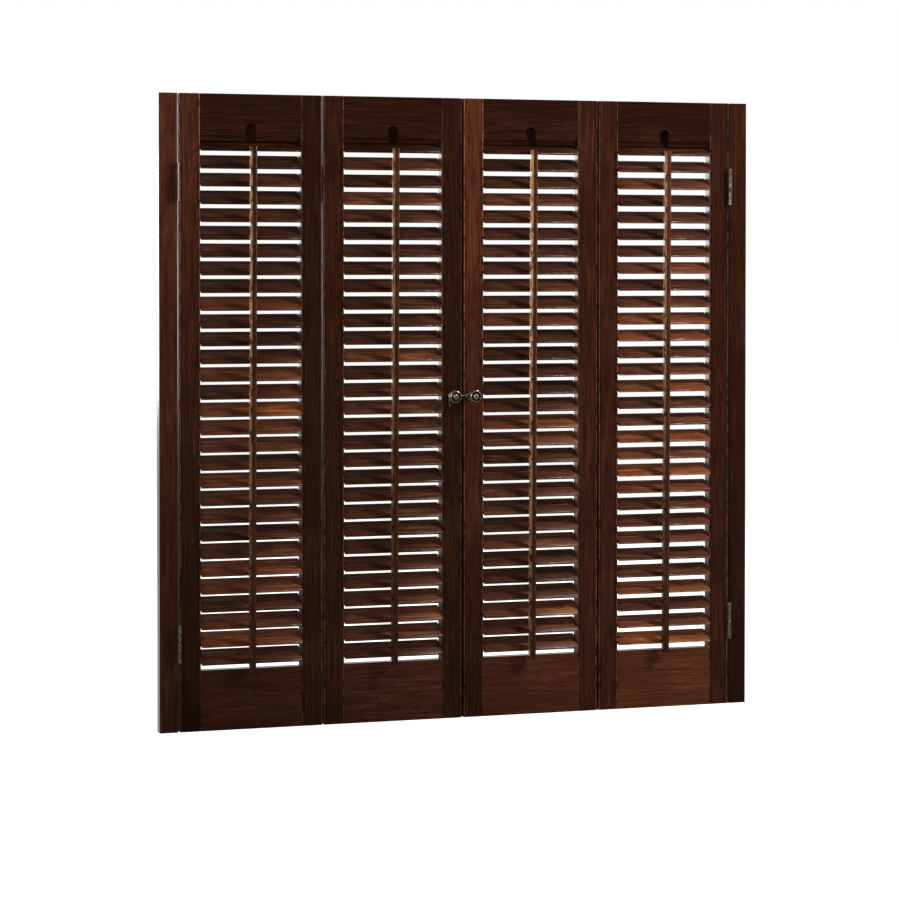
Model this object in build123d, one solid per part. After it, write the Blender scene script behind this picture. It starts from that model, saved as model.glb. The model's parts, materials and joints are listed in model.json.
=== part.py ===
from build123d import *
import os
from math import cos, pi, radians, sin

# Interior shutter: four louvered panels, hung as two folding pairs on two side strips.
# Lengths are millimetres and angles are degrees. X runs across the window, Y runs out
# towards the glass and Z is up, so the front faces look along -Y.
# The origin is the middle of the left strip's back face.

# Overall sizes
HEIGHT = 914.4
THICKNESS = 17.5
STRIP_WIDTH = 27.0
STILE_WIDTH = 31.0
OPENING_WIDTH = 150.0
HINGE_GAP = 2.4
MEETING_GAP = 3.0

# Small bevel along the edges of the strips and bottom rails
EASED_EDGE = 0.8

# Bead that is worked along both front edges of a stile, and the quirk beside it
BEAD_WIDTH = 2.4
BEAD_BEVEL = 0.7
QUIRK_WIDTH = 0.9
QUIRK_DEPTH = 1.2

# Louvers
LOUVER_PITCH = 25.4
LOUVER_WIDTH = 31.75
LOUVER_THICKNESS = 6.0
LOUVER_BEVEL = 1.3
LOUVER_EDGE_THICKNESS = 3.3
LOUVER_END_GAP = 0.4
LOUVER_TILT = 32.5
LAST_PANEL_TILT = 27.5

# Rails, with the tongue that the first louver closes against
TOP_RAIL_FACE = 60.0
TONGUE_THICKNESS = 5.5
TONGUE_GAP = 0.9
RABBET_GAP = 2.4
BOTTOM_RAIL_HEIGHT = 87.5
BOTTOM_LOUVER_GAP = 1.5

# Arched notch in the top rail, which the tilt rod's end enters as the louvers close
NOTCH_WIDTH = 14.5
NOTCH_HEIGHT = 25.5
NOTCH_DEPTH = 6.5

# Tilt rod
ROD_WIDTH = 9.8
ROD_DEPTH = 9.0
ROD_GAP = 0.6
ROD_TOP_REACH = 5.0
ROD_BOTTOM_REACH = 15.5

# Lift-off hinges
HINGE_LENGTH = 51.0
HINGE_FROM_END = 127.0
LEAF_DEPTH = 14.0
LEAF_GAP = 0.4
PIN_PROUD = 3.4
PIN_RADIUS = 1.5
BARREL_WALL = 1.3
PIN_CLEARANCE = 0.05
KNUCKLE_GAP = 0.3
CAP_THICKNESS = 2.0

# Turned knobs on the meeting stiles
KNOB_FROM_EDGE = 14.2
KNOB_ABOVE_MIDDLE = 18.0
KNOB_SIDES = 32
KNOB_RADIUS = 8.8
KNOB_LENGTH = 17.0
KNOB_BASE_RADIUS = 5.4
KNOB_BASE_HEIGHT = 1.2
KNOB_NECK_RADIUS = 3.0
KNOB_NECK_HEIGHT = 6.0
KNOB_RIM_HEIGHT = 4.6
KNOB_RIM_BEVEL = 0.9
KNOB_GROOVE_OUTER = 6.2
KNOB_GROOVE_INNER = 4.0
KNOB_GROOVE_DEPTH = 1.5
KNOB_BUTTON_RADIUS = 2.2
KNOB_BUTTON_RISE = 0.6

# Places worked out from the sizes above
TOP = HEIGHT / 2
BOTTOM = -HEIGHT / 2
FRONT = -THICKNESS
BACK = 0.0
MIDDLE = (FRONT + BACK) / 2
PANEL_WIDTH = 2 * STILE_WIDTH + OPENING_WIDTH

STRIP_LEFT_X = -STRIP_WIDTH / 2
PANEL_1_X = STRIP_LEFT_X + STRIP_WIDTH + HINGE_GAP
PANEL_2_X = PANEL_1_X + PANEL_WIDTH + HINGE_GAP
PANEL_3_X = PANEL_2_X + PANEL_WIDTH + MEETING_GAP
PANEL_4_X = PANEL_3_X + PANEL_WIDTH + HINGE_GAP
STRIP_RIGHT_X = PANEL_4_X + PANEL_WIDTH + HINGE_GAP

BARREL_RADIUS = PIN_RADIUS + BARREL_WALL
HINGE_HEIGHTS = (TOP - HINGE_FROM_END, BOTTOM + HINGE_FROM_END)


def louver_rise(tilt):
    """Height of a tilted louver's highest line, where its back bevel starts, above its pivot."""
    bevel_start = LOUVER_WIDTH / 2 - LOUVER_BEVEL
    return bevel_start * sin(radians(tilt)) + LOUVER_EDGE_THICKNESS / 2 * cos(radians(tilt))


def nose_reach(tilt):
    """How far a tilted louver's front edge stands in front of its pivot."""
    return LOUVER_WIDTH / 2 * cos(radians(tilt))


def nose_drop(tilt):
    """How far a tilted louver's front edge hangs below its pivot."""
    return LOUVER_WIDTH / 2 * sin(radians(tilt))


RAIL_FACE_BOTTOM = TOP - TOP_RAIL_FACE
FIRST_PIVOT = RAIL_FACE_BOTTOM - RABBET_GAP - louver_rise(LOUVER_TILT)
TONGUE_BOTTOM = FIRST_PIVOT + LOUVER_THICKNESS / 2 / cos(radians(LOUVER_TILT)) + TONGUE_GAP
BOTTOM_RAIL_TOP = BOTTOM + BOTTOM_RAIL_HEIGHT
LOWEST_PIVOT = BOTTOM_RAIL_TOP + LOUVER_WIDTH / 2 + BOTTOM_LOUVER_GAP
LOUVER_COUNT = int((FIRST_PIVOT - LOWEST_PIVOT) // LOUVER_PITCH) + 1
LAST_PIVOT = FIRST_PIVOT - (LOUVER_COUNT - 1) * LOUVER_PITCH


def plan_prism(profile, z_low, z_high):
    """A section drawn in plan, carried up from one height to another."""
    return Pos(0, 0, z_low) * extrude(profile, z_high - z_low)


def upright(radius, x, y, z_low, z_high):
    """A round upright bar about the line at x, y."""
    return Pos(x, y, (z_low + z_high) / 2) * Cylinder(radius, z_high - z_low)


def strip(x_left):
    """One hang strip: a plain bar with its long edges eased."""
    profile = chamfer(Rectangle(STRIP_WIDTH, THICKNESS).vertices(), EASED_EDGE)
    return plan_prism(Pos(x_left + STRIP_WIDTH / 2, MIDDLE) * profile, BOTTOM, TOP)


def stile(x_left):
    """One stile, with a bead and a quirk along both of its front edges."""
    profile = Rectangle(STILE_WIDTH, THICKNESS)
    quirk = Rectangle(QUIRK_WIDTH, 2 * QUIRK_DEPTH)
    quirk_x = STILE_WIDTH / 2 - BEAD_WIDTH - QUIRK_WIDTH / 2
    for side in (-1, 1):
        profile -= Pos(side * quirk_x, -THICKNESS / 2) * quirk
    front_points = profile.vertices().group_by(Axis.Y)[0].sort_by(Axis.X)
    profile = chamfer(front_points[:2] + front_points[-2:], BEAD_BEVEL)
    return plan_prism(Pos(x_left + STILE_WIDTH / 2, MIDDLE) * profile, BOTTOM, TOP)


def top_rail(x_left):
    """Top rail: its lower edge is rabbeted to a tongue on both faces and notched for the rod."""
    face_bottom = RAIL_FACE_BOTTOM
    outline = Polyline(
        (FRONT, TOP),
        (FRONT, face_bottom),
        (MIDDLE - TONGUE_THICKNESS, face_bottom),
        (MIDDLE - TONGUE_THICKNESS, TONGUE_BOTTOM),
        (MIDDLE, TONGUE_BOTTOM),
        (MIDDLE, face_bottom),
        (BACK, face_bottom),
        (BACK, TOP),
        close=True,
    )
    rail = Pos(x_left, 0, 0) * extrude(Plane.YZ * make_face(outline), OPENING_WIDTH)
    return rail - rod_notch(x_left + OPENING_WIDTH / 2)


def rod_notch(x_middle):
    """The room cut out for the rod's end: straight sides under a round head."""
    arch_z = TONGUE_BOTTOM + NOTCH_HEIGHT - NOTCH_WIDTH / 2
    depth_y = FRONT + NOTCH_DEPTH / 2
    legs_height = arch_z - TONGUE_BOTTOM
    legs = Pos(x_middle, depth_y, arch_z - legs_height / 2) * Box(NOTCH_WIDTH, NOTCH_DEPTH, legs_height)
    head = Pos(x_middle, depth_y, arch_z) * Rot(90, 0, 0) * Cylinder(NOTCH_WIDTH / 2, NOTCH_DEPTH)
    return legs + head


def bottom_rail(x_left):
    """Bottom rail: a plain board with its two upper edges eased."""
    middle = (BOTTOM + BOTTOM_RAIL_TOP) / 2
    board = Box(OPENING_WIDTH, THICKNESS, BOTTOM_RAIL_HEIGHT)
    upper_edges = board.edges().filter_by(Axis.X).group_by(Axis.Z)[-1]
    return Pos(x_left + OPENING_WIDTH / 2, MIDDLE, middle) * chamfer(upper_edges, EASED_EDGE)


def louver_profile():
    """Section of a louver: two shallow arcs, bevelled to a blunt edge in front and behind."""
    half_width = LOUVER_WIDTH / 2
    half_thick = LOUVER_THICKNESS / 2
    half_edge = LOUVER_EDGE_THICKNESS / 2
    bevel_start = half_width - LOUVER_BEVEL
    upper = ThreePointArc((-bevel_start, half_edge), (0, half_thick), (bevel_start, half_edge))
    back = Polyline((bevel_start, half_edge), (half_width, 0), (bevel_start, -half_edge))
    lower = ThreePointArc((bevel_start, -half_edge), (0, -half_thick), (-bevel_start, -half_edge))
    front = Polyline((-bevel_start, -half_edge), (-half_width, 0), (-bevel_start, half_edge))
    return make_face([upper, back, lower, front])


def louvers(x_left, tilt):
    """Every louver of one panel, turned about its own middle line with its front edge down."""
    length = OPENING_WIDTH - 2 * LOUVER_END_GAP
    louver = extrude(Plane.YZ * Rot(0, 0, tilt) * louver_profile(), length)
    heights = [FIRST_PIVOT - number * LOUVER_PITCH for number in range(LOUVER_COUNT)]
    return [Pos(x_left + LOUVER_END_GAP, MIDDLE, z) * louver for z in heights]


def tilt_rod(x_middle, tilt):
    """The rod that links the louvers' front edges: flat behind, half round in front."""
    back_y = MIDDLE - nose_reach(tilt) - ROD_GAP
    half = ROD_WIDTH / 2
    round_y = back_y - (ROD_DEPTH - half)
    sides = Polyline(
        (x_middle - half, round_y),
        (x_middle - half, back_y),
        (x_middle + half, back_y),
        (x_middle + half, round_y),
    )
    nosing = ThreePointArc(
        (x_middle + half, round_y),
        (x_middle, round_y - half),
        (x_middle - half, round_y),
    )
    z_high = FIRST_PIVOT - nose_drop(tilt) + ROD_TOP_REACH
    z_low = LAST_PIVOT - nose_drop(tilt) - ROD_BOTTOM_REACH
    return plan_prism(make_face([sides, nosing]), z_low, z_high)


def hinge_leaf(x_gap, face_y, outward, side, z_middle, upper):
    """One leaf of a lift-off hinge.

    x_gap is the middle of the gap that the hinge closes, face_y is the face that the
    barrel stands on, outward is the way out of that face, and side is the piece that the
    leaf is screwed to: -1 for the left one and 1 for the right one. The upper knuckle has
    a blind bore, and the lower one carries the pin.
    """
    leaf_thickness = (HINGE_GAP - LEAF_GAP) / 2
    leaf_x = x_gap + side * (LEAF_GAP + leaf_thickness) / 2
    leaf_y = face_y - outward * LEAF_DEPTH / 2
    pin_y = face_y + outward * PIN_PROUD
    z_top = z_middle + HINGE_LENGTH / 2
    z_foot = z_middle - HINGE_LENGTH / 2
    z_low = z_middle + KNUCKLE_GAP / 2 if upper else z_foot
    z_high = z_top if upper else z_middle - KNUCKLE_GAP / 2
    leaf = Pos(leaf_x, leaf_y, z_middle) * Box(leaf_thickness, LEAF_DEPTH, HINGE_LENGTH)
    web = Pos(leaf_x, (face_y + pin_y) / 2, (z_low + z_high) / 2)
    leaf += web * Box(leaf_thickness, PIN_PROUD, z_high - z_low)
    leaf += upright(BARREL_RADIUS, x_gap, pin_y, z_low, z_high)
    bore_top = z_top - CAP_THICKNESS
    if upper:
        return leaf - upright(PIN_RADIUS + PIN_CLEARANCE, x_gap, pin_y, z_low, bore_top)
    return leaf + upright(PIN_RADIUS, x_gap, pin_y, z_high, bore_top - KNUCKLE_GAP)


def knob_rings():
    """Radius and height of every edge of the turned knob, from its foot round to its button."""
    face = KNOB_LENGTH - KNOB_BUTTON_RISE
    rim_back = face - KNOB_RIM_HEIGHT
    shoulder_radius = (KNOB_NECK_RADIUS + 2 * KNOB_RADIUS) / 3
    shoulder_height = (KNOB_NECK_HEIGHT + 2 * rim_back) / 3
    groove_middle = (KNOB_GROOVE_OUTER + KNOB_GROOVE_INNER) / 2
    return [
        (KNOB_BASE_RADIUS, 0),
        (KNOB_BASE_RADIUS, KNOB_BASE_HEIGHT),
        (KNOB_NECK_RADIUS, 2 * KNOB_BASE_HEIGHT),
        (KNOB_NECK_RADIUS, KNOB_NECK_HEIGHT),
        (shoulder_radius, shoulder_height),
        (KNOB_RADIUS, rim_back),
        (KNOB_RADIUS, face - KNOB_RIM_BEVEL),
        (KNOB_RADIUS - KNOB_RIM_BEVEL, face),
        (KNOB_GROOVE_OUTER, face),
        (groove_middle, face - KNOB_GROOVE_DEPTH),
        (KNOB_GROOVE_INNER, face),
        (KNOB_BUTTON_RADIUS, KNOB_LENGTH),
    ]


def turned_in_flats(rings):
    """A turned shape in flat facets, which the mesh follows with far fewer triangles."""
    angles = [2 * pi * side / KNOB_SIDES for side in range(KNOB_SIDES)]
    loops = [[(r * cos(a), r * sin(a), h) for a in angles] for r, h in rings]
    faces = [Face(Wire.make_polygon(loops[0])), Face(Wire.make_polygon(loops[-1]))]
    for below, above in zip(loops, loops[1:]):
        for side in range(KNOB_SIDES):
            turn = (side + 1) % KNOB_SIDES
            faces.append(Face(Wire.make_polygon([below[side], below[turn], above[turn], above[side]])))
    return Solid(Shell(faces))


def knob(x):
    """One knob, standing out of the front face of its stile."""
    return Pos(x, FRONT, KNOB_ABOVE_MIDDLE) * Rot(90, 0, 0) * turned_in_flats(knob_rings())


def save(name, *solids):
    """Write one node."""
    shape = solids[0] if len(solids) == 1 else Compound(list(solids))
    export_step(shape, os.path.join("parts", name + ".step"))


def save_panel(name, x_left, tilt):
    """The wooden pieces of one panel."""
    opening_x = x_left + STILE_WIDTH
    middle_x = opening_x + OPENING_WIDTH / 2
    save(name + "_left_stile", stile(x_left))
    save(name + "_right_stile", stile(opening_x + OPENING_WIDTH))
    save(name + "_top_rail", top_rail(opening_x))
    save(name + "_bottom_rail", bottom_rail(opening_x))
    save(name + "_louvers", *louvers(opening_x, tilt))
    save(name + "_tilt_rod", tilt_rod(middle_x, tilt))


def save_hinges(fixed_name, moving_name, x_gap, face_y, outward, moving_side):
    """The pair of hinges in one gap, as their fixed leaves and their moving leaves."""
    fixed = [hinge_leaf(x_gap, face_y, outward, -moving_side, z, False) for z in HINGE_HEIGHTS]
    moving = [hinge_leaf(x_gap, face_y, outward, moving_side, z, True) for z in HINGE_HEIGHTS]
    save(fixed_name, *fixed)
    save(moving_name, *moving)


def main():
    """Build every node and write it to its own file."""
    os.makedirs("parts", exist_ok=True)
    save("left_hang_strip", strip(STRIP_LEFT_X))
    save("right_hang_strip", strip(STRIP_RIGHT_X))
    save_panel("panel_1", PANEL_1_X, LOUVER_TILT)
    save_panel("panel_2", PANEL_2_X, LOUVER_TILT)
    save_panel("panel_3", PANEL_3_X, LOUVER_TILT)
    save_panel("panel_4", PANEL_4_X, LAST_PANEL_TILT)

    left_gap = PANEL_1_X - HINGE_GAP / 2
    left_fold = PANEL_2_X - HINGE_GAP / 2
    right_fold = PANEL_4_X - HINGE_GAP / 2
    right_gap = STRIP_RIGHT_X - HINGE_GAP / 2
    save_hinges("left_strip_hinge_leaves", "panel_1_outer_hinge_leaves", left_gap, FRONT, -1, 1)
    save_hinges("panel_1_fold_hinge_leaves", "panel_2_fold_hinge_leaves", left_fold, BACK, 1, 1)
    save_hinges("panel_4_fold_hinge_leaves", "panel_3_fold_hinge_leaves", right_fold, BACK, 1, -1)
    save_hinges("right_strip_hinge_leaves", "panel_4_outer_hinge_leaves", right_gap, FRONT, -1, -1)

    save("panel_2_knob", knob(PANEL_2_X + PANEL_WIDTH - KNOB_FROM_EDGE))
    save("panel_3_knob", knob(PANEL_3_X + KNOB_FROM_EDGE))


main()
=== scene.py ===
# %% [markdown]
# # An interior shutter in stained wood
#
# The shutter has four louvered panels. They hang as two folding pairs between two
# plain strips, on small lift-off hinges. The solids of the part are already there
# when this lesson starts. Here they get their finish: grain, stain, varnish and
# metal, and the fine shapes that the solids leave out.
#
# The first cell loads the part. Everything is in metres, with X across the
# window, Y out of the back and Z up, and nothing that is loaded is moved.

# %% Load the part
import bpy
import bmesh
import json
import random
from math import cos, pi, radians, sin
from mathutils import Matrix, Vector


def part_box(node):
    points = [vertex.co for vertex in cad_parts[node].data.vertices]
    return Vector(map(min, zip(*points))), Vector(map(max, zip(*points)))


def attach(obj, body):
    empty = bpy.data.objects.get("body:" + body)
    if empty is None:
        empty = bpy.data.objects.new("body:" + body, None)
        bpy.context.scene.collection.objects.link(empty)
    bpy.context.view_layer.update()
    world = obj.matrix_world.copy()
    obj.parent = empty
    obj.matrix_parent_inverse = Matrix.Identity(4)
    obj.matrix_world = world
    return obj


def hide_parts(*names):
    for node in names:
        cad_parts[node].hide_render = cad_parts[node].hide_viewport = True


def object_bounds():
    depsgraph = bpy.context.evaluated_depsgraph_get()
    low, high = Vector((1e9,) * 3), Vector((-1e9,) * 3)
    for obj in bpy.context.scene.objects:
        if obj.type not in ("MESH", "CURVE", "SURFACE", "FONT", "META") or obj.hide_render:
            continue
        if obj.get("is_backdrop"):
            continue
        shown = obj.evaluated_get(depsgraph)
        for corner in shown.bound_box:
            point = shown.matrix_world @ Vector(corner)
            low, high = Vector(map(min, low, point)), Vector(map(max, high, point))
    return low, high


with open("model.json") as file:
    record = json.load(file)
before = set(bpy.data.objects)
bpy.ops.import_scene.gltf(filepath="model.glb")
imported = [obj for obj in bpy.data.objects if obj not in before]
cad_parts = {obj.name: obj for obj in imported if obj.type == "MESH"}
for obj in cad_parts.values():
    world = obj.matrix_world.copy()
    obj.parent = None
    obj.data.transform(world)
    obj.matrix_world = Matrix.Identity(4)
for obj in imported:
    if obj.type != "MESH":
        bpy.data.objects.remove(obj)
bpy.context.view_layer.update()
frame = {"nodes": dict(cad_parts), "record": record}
MM = 0.001
ARRIS = 0.5 * MM  # how far the wood's sharp corners are taken off

# %% [markdown]
# ## Sizes that come from the part
#
# A piece that replaces a solid has to sit exactly where that solid sits. Typing
# the numbers again would work until somebody changes the part. Reading each
# solid's box keeps the two together, so the panels' faces are measured here.

# %% Measure the panels
PANELS = ("panel_1", "panel_2", "panel_3", "panel_4")
stile_low, stile_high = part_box("panel_1_left_stile")
FRONT, BACK = stile_low.y, stile_high.y
MIDDLE = (FRONT + BACK) / 2
BOTTOM, TOP = stile_low.z, stile_high.z
print("front", round(FRONT / MM, 2), "back", round(BACK / MM, 2), "height", round((TOP - BOTTOM) / MM, 1))

# %% [markdown]
# ## Three ways to make a mesh
#
# Nearly every piece of joinery is one section carried along a line: a stile, a
# rod and a louver are all made like that on a moulding cutter. Turned pieces are
# one outline spun round a line. Bent wire is a circle carried along a curve.
#
# Blender's own cubes and cylinders could be scaled into place, but they have no
# bead, no nose and no eased ends. So the lesson has three small helpers that work
# like the machines do. Each returns plain lists of points and faces.

# %% Carry a section along a bar
def moulded_bar(section, start, end, along="Z", eased=0.0, wear_and_light=None):
    """Points, faces and wear of a bar. The section shrinks a little at the ends where they are eased."""
    count = len(section)
    mid_a = sum(point[0] for point in section) / count
    mid_b = sum(point[1] for point in section) / count
    rings = [(start, 1), (end, 1)]
    if eased:
        half_width = max(max(abs(a - mid_a), abs(b - mid_b)) for a, b in section)
        shrink = 1 - eased / half_width
        rings = [(start, shrink), (start + eased, 1), (end - eased, 1), (end, shrink)]
    points = []
    for place, scale in rings:
        for a, b in section:
            a, b = mid_a + (a - mid_a) * scale, mid_b + (b - mid_b) * scale
            points.append((a, b, place) if along == "Z" else (place, a, b))
    faces = [tuple(range(count)), tuple(len(points) - count + n for n in range(count))]
    for ring in range(len(rings) - 1):
        for n in range(count):
            m = (n + 1) % count
            low, high = ring * count, (ring + 1) * count
            faces.append((low + n, low + m, high + m, high + n))
    return points, faces, (wear_and_light or [0.0] * count) * len(rings)


# %% Spin an outline round a line
def turned_piece(outline, centre, along="Z", steps=48):
    """Points, faces and wear of a turned shape. The outline is (radius, distance along) from end to end."""
    points, faces = [], []
    for radius, distance in outline:
        for step in range(steps):
            angle = 2 * pi * step / steps
            a, b = radius * cos(angle), radius * sin(angle)
            spot = (a, b, distance) if along == "Z" else (a, -distance, b)
            points.append(tuple(centre[n] + spot[n] for n in range(3)))
    for ring in range(len(outline) - 1):
        for step in range(steps):
            low, high, turn = ring * steps, (ring + 1) * steps, (step + 1) % steps
            faces.append((low + step, low + turn, high + turn, high + step))
    faces += [tuple(range(steps)), tuple(len(points) - steps + n for n in range(steps))]
    return points, faces, [0.0] * len(points)


# %% Bend a wire
def bent_wire(route, radius, steps=10):
    """Points, faces and wear of a round wire that follows a list of points."""
    route = [Vector(point) for point in route]
    points, faces = [], []
    side = None
    for n, spot in enumerate(route):
        ahead = (route[min(n + 1, len(route) - 1)] - route[max(n - 1, 0)]).normalized()
        if side is None:
            side = ahead.orthogonal().normalized()
        side = (side - ahead * side.dot(ahead)).normalized()
        other = ahead.cross(side)
        for step in range(steps):
            angle = 2 * pi * step / steps
            points.append(tuple(spot + radius * (side * cos(angle) + other * sin(angle))))
    for ring in range(len(route) - 1):
        for step in range(steps):
            low, high, turn = ring * steps, (ring + 1) * steps, (step + 1) % steps
            faces.append((low + step, low + turn, high + turn, high + step))
    faces += [tuple(range(steps)), tuple(len(points) - steps + n for n in range(steps))]
    return points, faces, [0.0] * len(points)


print("helpers ready: moulded_bar, turned_piece, bent_wire")

# %% [markdown]
# ## From lists to an object
#
# Several bars that belong together, such as the louvers of one panel, become one
# object. Each point brings a number called tone, which says how pale its board
# came out of the stain, and which also carries painted shade and painted light.
# It also brings a number called wear, for edges that hands have rubbed, which
# carries painted highlights and painted light as well. They are stored on the
# mesh as attributes, and the finishes read them.
# Painting an image could do the same, but it would need a file.

# %% Make one object out of several parts
def faded(points, below, above):
    """One number for each point, changing evenly from the foot to the head of the board."""
    return [below + (above - below) * (point[2] - BOTTOM) / (TOP - BOTTOM) for point in points]


def make_object(name, parts, material, crease=32):
    """One object from (points, faces, wear, tone) parts, smooth, with its sharp edges kept."""
    points, faces, wear_and_light, tone_and_shading = [], [], [], []
    for part in parts:
        first = len(points)
        points += part[0]
        faces += [tuple(first + n for n in face) for face in part[1]]
        wear_and_light += part[2]
        tone_and_shading += part[3] if len(part) > 3 else [0.0] * len(part[0])
    mesh = bpy.data.meshes.new(name)
    mesh.from_pydata(points, [], faces)
    tidy = bmesh.new()
    tidy.from_mesh(mesh)
    bmesh.ops.recalc_face_normals(tidy, faces=tidy.faces)
    tidy.to_mesh(mesh)
    tidy.free()
    mesh.attributes.new("wear_and_light", "FLOAT", "POINT").data.foreach_set("value", wear_and_light)
    mesh.attributes.new("tone_and_shading", "FLOAT", "POINT").data.foreach_set("value", tone_and_shading)
    mesh.shade_smooth()
    mesh.set_sharp_from_angle(angle=radians(crease))
    mesh.materials.append(material)
    piece = bpy.data.objects.new(name, mesh)
    bpy.context.scene.collection.objects.link(piece)
    return piece


def body_of_node(node):
    """The body that the record lists a node under."""
    return next(body for body, nodes in frame["record"]["behaviour"]["bodies"].items() if node in nodes)


def stand_for(piece, node):
    """The piece takes a node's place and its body."""
    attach(piece, body_of_node(node))
    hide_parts(node)


# %% [markdown]
# ## The wood finish
#
# The real wood is a reddish-brown hardwood under a dark stain and a satin
# varnish. Three things make it read as wood. Long streaks run with the grain,
# where the stain went in deeper. Fine short pores are darker still. And the stain
# is uneven from board to board. Each upright and rail is also made darker or paler
# from one end to the other. A step of 1 in tone doubles a colour, and a step of -1
# halves it.
#
# All of it can be drawn with noise that is squeezed across the grain and
# stretched along it, so one function makes every wood here. The coordinates are
# the object's own, so the grain stays on a panel when the panel swings.

# %% Small helpers for materials
def new_material(name):
    """A material with its shader, and a function that adds nodes to it."""
    material = bpy.data.materials.new(name)
    material.use_nodes = True
    nodes = material.node_tree.nodes

    def add(kind, values=(), **settings):
        node = nodes.new("ShaderNode" + kind)
        for key, value in settings.items():
            setattr(node, key, value)
        for socket, value in dict(values).items():
            node.inputs[socket].default_value = value
        return node

    return material, nodes["Principled BSDF"], material.node_tree.links.new, add


def soft_step(add, link, value, low, high):
    """Turns a value into 0 below low and 1 above high, with a soft change between."""
    step = add("MapRange", {1: low, 2: high, 3: 0.0, 4: 1.0}, interpolation_type="SMOOTHSTEP")
    link(value, step.inputs[0])
    return step.outputs[0]


def colour_mix(add, link, share, first, second):
    """Mixes two colours, each a plain colour or a socket, by a share that is a socket."""
    mix = add("Mix", data_type="RGBA")
    link(share, mix.inputs[0])
    for socket, colour in ((mix.inputs[6], first), (mix.inputs[7], second)):
        if isinstance(colour, tuple):
            socket.default_value = (*colour, 1)
        else:
            link(colour, socket)
    return mix.outputs[2]


# %% The stained and varnished wood
WINDOW_WIDTH = 0.9
DULL_BELOW, SHINY_ABOVE = -0.40, 0.05


def stained_wood(name, grain, deep, middle, pale, gloss=0.24, bare_and_lit=(0.12, 0.045, 0.018),
                 fade=(0.0, 0.0), honey=(1.0, 1.0, 1.0), shine=0.5, dull_foot=0.0):
    """Wood whose grain runs along X or Z. Spots marked as rubbed turn pale, and the same mark also
    carries painted highlights and painted light. Fade makes it darker or paler from one end to the
    other, and honey tints the pale boards. Shine is how well the varnish mirrors, and dull_foot is
    how much rougher it is near the sill."""
    material, shader, link, add = new_material(name)
    place = add("TexCoord").outputs["Object"]
    stretch = {"X": (0.04, 1, 1), "Z": (1, 1, 0.04)}[grain]

    along = add("Mapping", {"Scale": stretch})
    link(place, along.inputs["Vector"])
    streaks = add("TexNoise", {"Scale": 330.0, "Detail": 5.0, "Roughness": 0.65, "Distortion": 0.2})
    link(along.outputs[0], streaks.inputs["Vector"])
    pores = add("TexNoise", {"Scale": 900.0, "Detail": 2.0, "Roughness": 0.6})
    link(along.outputs[0], pores.inputs["Vector"])
    clouds = add("TexNoise", {"Scale": 9.0, "Detail": 2.0})
    link(place, clouds.inputs["Vector"])

    body = colour_mix(add, link, soft_step(add, link, streaks.outputs[0], 0.30, 0.66), deep, middle)
    warm = add("Math", operation="MULTIPLY_ADD")
    link(clouds.outputs[0], warm.inputs[0])
    warm.inputs[1].default_value = 0.55
    link(streaks.outputs[0], warm.inputs[2])
    body = colour_mix(add, link, soft_step(add, link, warm.outputs[0], 0.74, 1.08), body, pale)
    fine = soft_step(add, link, pores.outputs[0], 0.56, 0.72)
    body = colour_mix(add, link, fine, body, tuple(0.45 * c for c in deep))

    # The wear number makes the wood pale where hands have rubbed it. It also carries the painted highlights
    # on the louvers' noses and the painted light on the rods' left sides.
    wear_and_light = add("Attribute", attribute_name="wear_and_light").outputs["Fac"]
    rubs = add("TexNoise", {"Scale": 210.0, "Detail": 3.0, "Roughness": 0.55})
    slack = add("Mapping", {"Scale": tuple(0.45 if size < 1 else 1.0 for size in stretch)})
    link(place, slack.inputs["Vector"])
    link(slack.outputs[0], rubs.inputs["Vector"])
    rubbed = add("Math", operation="MULTIPLY")
    link(wear_and_light, rubbed.inputs[0])
    link(soft_step(add, link, rubs.outputs[0], 0.38, 0.56), rubbed.inputs[1])
    body = colour_mix(add, link, rubbed.outputs[0], body, bare_and_lit)

    parted = add("SeparateXYZ")
    link(place, parted.inputs[0])
    first, last = (0.0, WINDOW_WIDTH) if grain == "X" else (BOTTOM, TOP)
    change = add("MapRange", {1: first, 2: last, 3: fade[0], 4: fade[1]})
    link(parted.outputs[grain], change.inputs[0])
    # The tone number holds each board's stain. It also carries painted shade on the louvers' under sides and
    # on the top louver, and painted light on the lower louvers.
    tone_and_shading = add("Math", operation="ADD")
    link(add("Attribute", attribute_name="tone_and_shading").outputs["Fac"], tone_and_shading.inputs[0])
    link(change.outputs[0], tone_and_shading.inputs[1])
    tinted = add("VectorMath", {1: honey}, operation="MULTIPLY")
    link(body, tinted.inputs[0])
    body = colour_mix(add, link, soft_step(add, link, tone_and_shading.outputs[0], 0.1, 0.8), body, tinted.outputs[0])
    paler = add("Math", {0: 2.0}, operation="POWER")
    link(tone_and_shading.outputs[0], paler.inputs[1])
    stained = add("VectorMath", operation="SCALE")
    link(body, stained.inputs[0])
    link(paler.outputs[0], stained.inputs["Scale"])
    link(stained.outputs[0], shader.inputs["Base Color"])

    rough = add("MapRange", {1: 0.3, 2: 0.7, 3: gloss - 0.04, 4: gloss + 0.06})
    link(clouds.outputs[0], rough.inputs[0])
    foot = add("MapRange", {1: DULL_BELOW, 2: SHINY_ABOVE, 3: dull_foot, 4: 0.0})
    link(parted.outputs["Z"], foot.inputs[0])
    matt = add("Math", operation="ADD")
    link(rough.outputs[0], matt.inputs[0])
    link(foot.outputs[0], matt.inputs[1])
    link(matt.outputs[0], shader.inputs["Roughness"])
    shader.inputs["IOR"].default_value = 1.5
    shader.inputs["Specular IOR Level"].default_value = shine
    bump = add("Bump", {"Strength": 0.2, "Distance": 0.0003})
    link(pores.outputs[0], bump.inputs["Height"])
    link(bump.outputs[0], shader.inputs["Normal"])
    return material


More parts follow.
